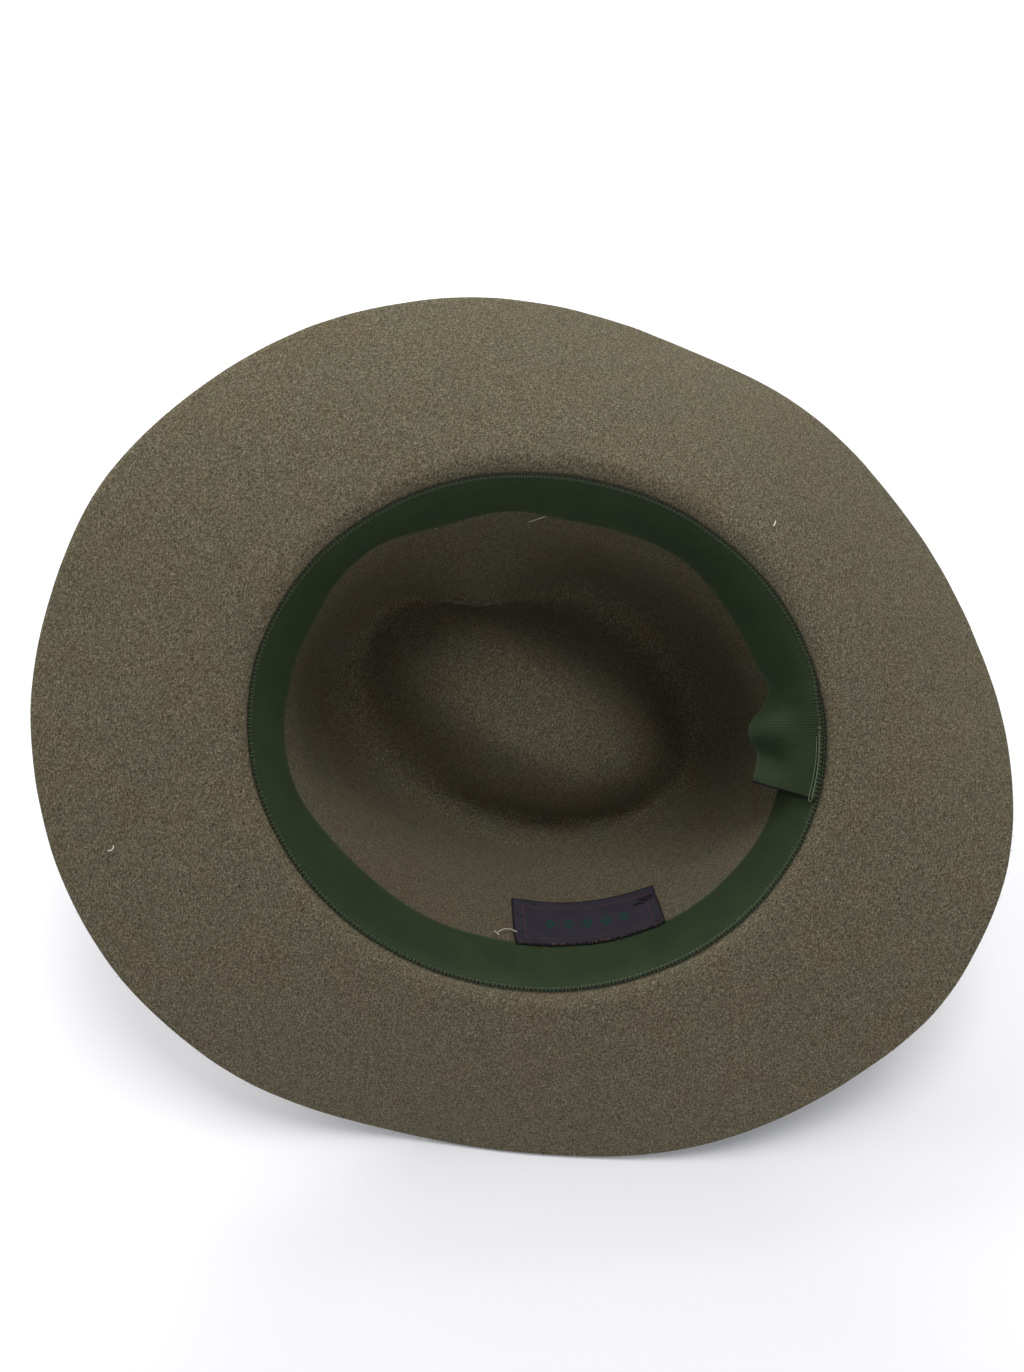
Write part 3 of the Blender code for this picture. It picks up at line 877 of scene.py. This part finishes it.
@dataclass
class Sweatband:
    """The grosgrain ribbon sewn round the opening, with its selvedge cord and stitches."""

    guide: ClothGuide
    thickness: float = 0.0008
    clearance: float = 0.00015
    stitch_step: float = 0.00135
    line_step: float = 0.0012
    dents: tuple[Dent, ...] = (
        Dent(0.011, 0.0225, 0.0055, 0.0060, 0.0036),
        Dent(0.023, 0.0205, 0.0055, 0.0080, -0.0018),
        Dent(0.040, 0.0225, 0.0070, 0.0060, 0.0016),
        Dent(0.250, 0.0260, 0.0160, 0.0080, -0.0016),
        Dent(0.215, 0.0260, 0.0120, 0.0080, 0.0012),
        Dent(0.000, 0.0240, 0.0045, 0.0070, -0.0014),
    )

    def sink(self, along: float, down: float) -> float:
        """Depth that the dents give the cloth at a place on it."""
        return sum(dent.depth * math.exp(
            -((self.guide.length - along - dent.from_end) / dent.reach_along) ** 2
            - ((down - dent.down) / dent.reach_down) ** 2) for dent in self.dents)

    def ribbon(self) -> bpy.types.Object:
        """Make the ribbon itself, dented where its upper end flares."""
        piece = self.guide.cloth("grosgrain_sweatband", 2)
        spots = cloth_spots(piece)
        normals = [v.normal.copy() for v in piece.data.vertices]
        for vertex in piece.data.vertices:
            spot, out = spots[vertex.index], normals[vertex.index]
            if out.dot(HOLLOW - vertex.co) < 0.0:
                out.negate()
            vertex.co -= out * self.sink(spot.x, spot.y)
        wear_in(piece)
        lift_clear(piece, "felt_hat", self.thickness / 2 + self.clearance)
        thicken(piece, self.thickness)
        return piece

    def line_along(self, down: float, off: float) -> list[Vector]:
        """Points of a line along the whole ribbon, at one distance from its sewn edge."""
        count = int(self.guide.length / self.line_step)
        return [self.guide.at(self.guide.length * k / count, down, off) for k in range(count + 1)]

    def selvedge(self) -> bpy.types.Object:
        """Make the thin cord that the selvedge loops leave along the sewn edge."""
        path = self.line_along(down=0.0002, off=0.00042)
        return thread_piece("ribbon_selvedge_cord", [path], radius=0.00017, shape=Shape.STRAIGHT)

    def stitches(self) -> bpy.types.Object:
        """Make the ladder of small stitches that holds the ribbon's sewn edge to the felt."""
        dice = random.Random(11)
        paths = []
        for k in range(int(self.guide.length / self.stitch_step)):
            along = (k + 0.5) * self.stitch_step + dice.uniform(-0.0001, 0.0001)
            lean = 0.0003 + dice.uniform(-0.0002, 0.0002)
            ahead = min(along + lean, self.guide.length)
            inner = 0.0012 + dice.uniform(-0.0003, 0.0004)
            paths.append([self.guide.at(along, inner, 0.00034),
                          self.guide.at((along + ahead) / 2, 0.0006, 0.00060),
                          self.guide.at(ahead, -0.0001, 0.00048),
                          self.guide.at(ahead, -0.0006, -0.00010)])
        return thread_piece("ribbon_stitches", paths, radius=0.00013, shape=Shape.STRAIGHT)

    def painted_seam_shadow(self) -> bpy.types.Object:
        """Make a black line by the sewn edge, the painted shadow of the gap under the ribbon."""
        seam = self.line_along(down=-0.0005, off=-0.00028)
        return thread_piece("ribbon_dark_seam", [seam], radius=0.00016, shape=Shape.STRAIGHT)

    def painted_end_shadow(self) -> bpy.types.Object:
        """Make the black line of painted shadow along the cut upper end, which follows its dents."""
        end = self.guide.length + 0.0002
        downs = [self.guide.width * k / 16 for k in range(17)]
        path = [self.guide.at(end, down, 0.00022 - self.sink(end, down)) for down in downs]
        return thread_piece("ribbon_cut_end", [path], radius=0.00044, shape=Shape.STRAIGHT)

    def turned_edge(self) -> bpy.types.Object:
        """Make the two pale yarns of the turned edge near the upper end, and their small loop."""
        end, count = self.guide.length, 16
        outer = [self.guide.at(end - 0.0215 * k / count, 0.0003, 0.00074) for k in range(count + 1)]
        inner = [self.guide.at(end - 0.0200 * k / count, 0.0016, 0.00070) for k in range(count + 1)]
        loop = [self.guide.at(end, 0.0003, 0.0007), self.guide.at(end + 0.0012, 0.0001, 0.0006),
                self.guide.at(end + 0.0014, 0.0014, 0.0006), self.guide.at(end, 0.0016, 0.0007)]
        tick = [self.guide.at(end - 0.0225, -0.0006, 0.0004),
                self.guide.at(end - 0.0232, 0.0003, 0.0008),
                self.guide.at(end - 0.0226, 0.0013, 0.0006)]
        return thread_piece("ribbon_turned_edge", [outer, inner, loop, tick], radius=0.00014,
                            shape=Shape.SMOOTH)

    def build(self) -> list[bpy.types.Object]:
        """Make and dress the ribbon, its yarns, its stitches and its two lines of painted shadow."""
        ribbon, threads = self.ribbon(), {
            self.selvedge(): SpunThread("selvedge_yarn", "#2A3422"),
            self.stitches(): SpunThread("green_sewing_thread", "#57664A"),
            # Painted shadow: a near-black line in the gap beside the sewn edge.
            self.painted_seam_shadow(): SpunThread("seam_thread", "#15180F"),
            # Painted shadow: a near-black line along the lifted cut end.
            self.painted_end_shadow(): SpunThread("singed_ribbon_end", "#0D0F09"),
            self.turned_edge(): SpunThread("turned_edge_yarn", "#78876A"),
        }
        for piece in threads:
            wear_in(piece)
        dress(ribbon, Grosgrain(self.guide.width).build())
        for piece, finish in threads.items():
            dress(piece, finish.build())
        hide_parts("sweatband_ribbon")
        return [ribbon, *threads]


@dataclass
class Label:
    """The woven label, its tack stitches and its loose ends."""

    guide: ClothGuide
    thickness: float = 0.0006

    def patch(self) -> bpy.types.Object:
        """Make the label, its cut edges a little uneven."""
        piece = self.guide.cloth("woven_label_patch", 3)
        spots = cloth_spots(piece)
        for vertex in piece.data.vertices:
            spot = spots[vertex.index]
            near = min(spot.x, self.guide.length - spot.x, spot.y, self.guide.width - spot.y)
            ripple = noise.noise(Vector((spot.x, spot.y, 0.0)) * 420.0) * 0.0003
            vertex.co += OUT_OF_CROWN * ripple * (1.0 - smooth_step(0.0, 0.002, near))
        thicken(piece, self.thickness)
        return piece

    def frayed_edge(self) -> bpy.types.Object:
        """Make the short pale ends that fray out of the edge over the ribbon."""
        dice = random.Random(3)
        paths = []
        for _ in range(46):
            along = dice.uniform(0.02, 0.98) * self.guide.length
            end = along + dice.uniform(-0.0014, 0.0014)
            paths.append([self.guide.at(along, 0.0009, 0.00035),
                          self.guide.at((along + end) / 2, 0.0001, 0.0006),
                          self.guide.at(end, -dice.uniform(0.0003, 0.0011), 0.0003)])
        return thread_piece("label_frayed_ends", paths, radius=0.00009, shape=Shape.STRAIGHT,
                            sides=4)

    def tacks(self) -> bpy.types.Object:
        """Make the dark stitches that hold its corners, one of them a small tangle."""
        dice = random.Random(5)
        length, width = self.guide.length, self.guide.width
        paths = []
        for along, down, lean in ((0.0022, width - 0.0110, 0.0026), (0.0016, 0.0080, 0.0030),
                                  (0.0060, 0.0022, 0.0022), (0.0080, width - 0.0030, 0.0018),
                                  (length - 0.0012, 0.0020, -0.0024)):
            paths.append([self.guide.at(along, down, 0.0002),
                          self.guide.at(along + lean / 2, down + 0.0002, 0.0007),
                          self.guide.at(along + lean, down + 0.0003, 0.0002)])
        for _ in range(15):
            along = length - dice.uniform(0.0045, 0.0100)
            down = width - dice.uniform(0.0060, 0.0098)
            way = dice.uniform(-0.4, 0.5)
            reach = dice.uniform(0.0022, 0.0040)
            paths.append([self.guide.at(along, down, 0.0003),
                          self.guide.at(along + reach * 0.4, down + reach * way * 0.7,
                                        dice.uniform(0.0006, 0.0012)),
                          self.guide.at(along + reach * 0.8, down + reach * way * 0.6,
                                        dice.uniform(0.0006, 0.0012)),
                          self.guide.at(along + reach, down + reach * way, 0.0002)])
        return thread_piece("label_tack_stitches", paths, radius=0.00018, shape=Shape.SMOOTH)

    def pale_end(self) -> bpy.types.Object:
        """Make the pale thread end that curls out beside the label."""
        spots = ((0.0010, 0.0075, 0.0004), (-0.0012, 0.0078, 0.0012), (-0.0036, 0.0070, 0.0016),
                 (-0.0056, 0.0054, 0.0013), (-0.0064, 0.0040, 0.0010))
        path = [self.guide.at(*spot) for spot in spots]
        hook = [self.guide.at(*spot) for spot in
                ((-0.0074, 0.0052, 0.0012), (-0.0066, 0.0036, 0.0010), (-0.0060, 0.0024, 0.0012))]
        return thread_piece("label_pale_thread_end", [path, hook], radius=0.00022,
                            shape=Shape.SMOOTH)

    def build(self) -> list[bpy.types.Object]:
        """Make and dress the label and its threads."""
        patch, ends, tacks, pale = self.patch(), self.frayed_edge(), self.tacks(), self.pale_end()
        for piece in (patch, ends, tacks, pale):
            wear_in(piece)
        dress(patch, WovenLabel(self.guide.length, self.guide.width).build())
        dress(ends, SpunThread("frayed_weft_ends", "#7A6350").build())
        dress(tacks, SpunThread("black_sewing_thread", "#15141A").build())
        dress(pale, SpunThread("raw_cotton_thread", "#CFCDBE").build())
        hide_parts("woven_label")
        return [patch, ends, tacks, pale]


@dataclass
class Lint:
    """A stray thread and two specks of lint that cling to the felt."""

    paths: tuple[tuple[tuple[float, float, float], ...], ...] = (
        ((0.0030, 0.0686, 0.1254), (0.0050, 0.0679, 0.1266), (0.0066, 0.0672, 0.1286),
         (0.0090, 0.0666, 0.1298)),
        ((-0.1440, -0.0372, 0.0906), (-0.1428, -0.0378, 0.0909), (-0.1418, -0.0366, 0.0909),
         (-0.1424, -0.0357, 0.0911)),
        ((0.0824, 0.0388, 0.1493), (0.0831, 0.0398, 0.1495), (0.0836, 0.0410, 0.1493)),
    )

    def build(self) -> list[bpy.types.Object]:
        """Make and dress the stray thread and the lint."""
        paths = [[Vector(spot) for spot in path] for path in self.paths]
        threads = thread_piece("stray_pale_lint", paths, radius=0.00022, shape=Shape.SMOOTH)
        wear_in(threads)
        dress(threads, SpunThread("white_cotton_lint", "#E6E3D2").build())
        return [threads]


# ---- the studio ----


@dataclass(frozen=True)
class Lamp:
    """A broad square lamp: its place, its power in watts and its side in metres."""

    name: str
    place: tuple[float, float, float]
    power: float
    side: float = 0.8


@dataclass
class Studio:
    """Pale floor, soft light and the camera at the photograph's angle."""

    lamps: tuple[Lamp, ...] = (
        Lamp("overhead", (0.22, 0.36, 1.60), 13.3),
        Lamp("behind", (0.0, 1.386, 0.85), 13.0),
        Lamp("behind_left", (-1.20, 0.693, 0.85), 9.6),
        Lamp("in_front", (0.55, -1.26, 0.85), 2.1),
    )
    lamp_aim: tuple[float, float, float] = (0.0, 0.0, 0.05)
    lamp_colour: tuple[float, float, float] = (1.0, 0.985, 0.965)
    sky_colour: tuple[float, float, float, float] = (0.93, 0.96, 1.0, 1.0)
    sky_strength: float = 0.37
    floor_side: float = 6.0
    floor_drop: float = 0.0002
    camera_place: tuple[float, float, float] = (-0.01973, -0.19108, 0.40342)
    camera_down_deg: float = 55.93
    camera_turn_deg: float = -3.64
    lens: float = 27.0

    def floor(self) -> bpy.types.Object:
        """Make the floor, a hair below the felt that lies on it."""
        deselect_all()
        bpy.ops.mesh.primitive_plane_add(size=self.floor_side,
                                         location=(0.0, 0.0, -self.floor_drop))
        floor = bpy.context.object
        floor.name = "pale_floor"
        bpy.ops.object.transform_apply(location=True)
        floor.data.materials.append(PaleTable().build())
        return floor

    def light(self) -> None:
        """Make the lamps, all turned to the hat, and an even surrounding."""
        for lamp in self.lamps:
            light = bpy.data.lights.new(lamp.name, 'AREA')
            light.energy, light.size, light.color = lamp.power, lamp.side, self.lamp_colour
            holder = bpy.data.objects.new(lamp.name, light)
            bpy.context.scene.collection.objects.link(holder)
            holder.location = lamp.place
            holder.rotation_euler = (Vector(self.lamp_aim) - Vector(lamp.place)).to_track_quat(
                '-Z', 'Y').to_euler()
        world = bpy.data.worlds.new("even_surrounding")
        world.use_nodes = True
        sky = world.node_tree.nodes["Background"].inputs
        sky[0].default_value, sky[1].default_value = self.sky_colour, self.sky_strength
        bpy.context.scene.world = world

    def camera(self) -> bpy.types.Object:
        """Make the camera, turned by its slope and its small turn to the side."""
        down, turn = math.radians(self.camera_down_deg), math.radians(self.camera_turn_deg)
        right = Vector((math.cos(turn), math.sin(turn), 0.0))
        ahead = Vector((-math.sin(turn) * math.cos(down), math.cos(turn) * math.cos(down),
                        -math.sin(down)))
        lens = bpy.data.cameras.new("camera")
        lens.lens, lens.sensor_width = self.lens, 36.0
        lens.clip_start = 0.01
        made = bpy.data.objects.new("camera", lens)
        bpy.context.scene.collection.objects.link(made)
        turned = Matrix((right, right.cross(ahead), -ahead)).transposed().to_4x4()
        made.matrix_world = Matrix.Translation(Vector(self.camera_place)) @ turned
        bpy.context.scene.camera = made
        return made

    def build(self) -> None:
        """Set up floor, light and camera."""
        self.floor()
        self.light()
        self.camera()
        bpy.context.scene.view_settings.view_transform = 'Standard'


def main() -> None:
    """Build the hat piece by piece, then the studio round it."""
    logging.basicConfig(level=logging.INFO, format="%(name)s %(message)s")
    parts = (
        FeltBody(BrushedFelt(), LooseFibre()),
        Sweatband(ClothGuide("sweatband_ribbon", Vector((0.0, 1.0, 0.0)))),
        Label(ClothGuide("woven_label", Vector((-1.0, 0.0, 0.0)))),
        Lint(),
    )
    for part in parts:
        pieces = part.build()
        LOG.info("%s: %s", type(part).__name__, ", ".join(piece.name for piece in pieces))
    Studio().build()


if __name__ == "__main__":
    main()
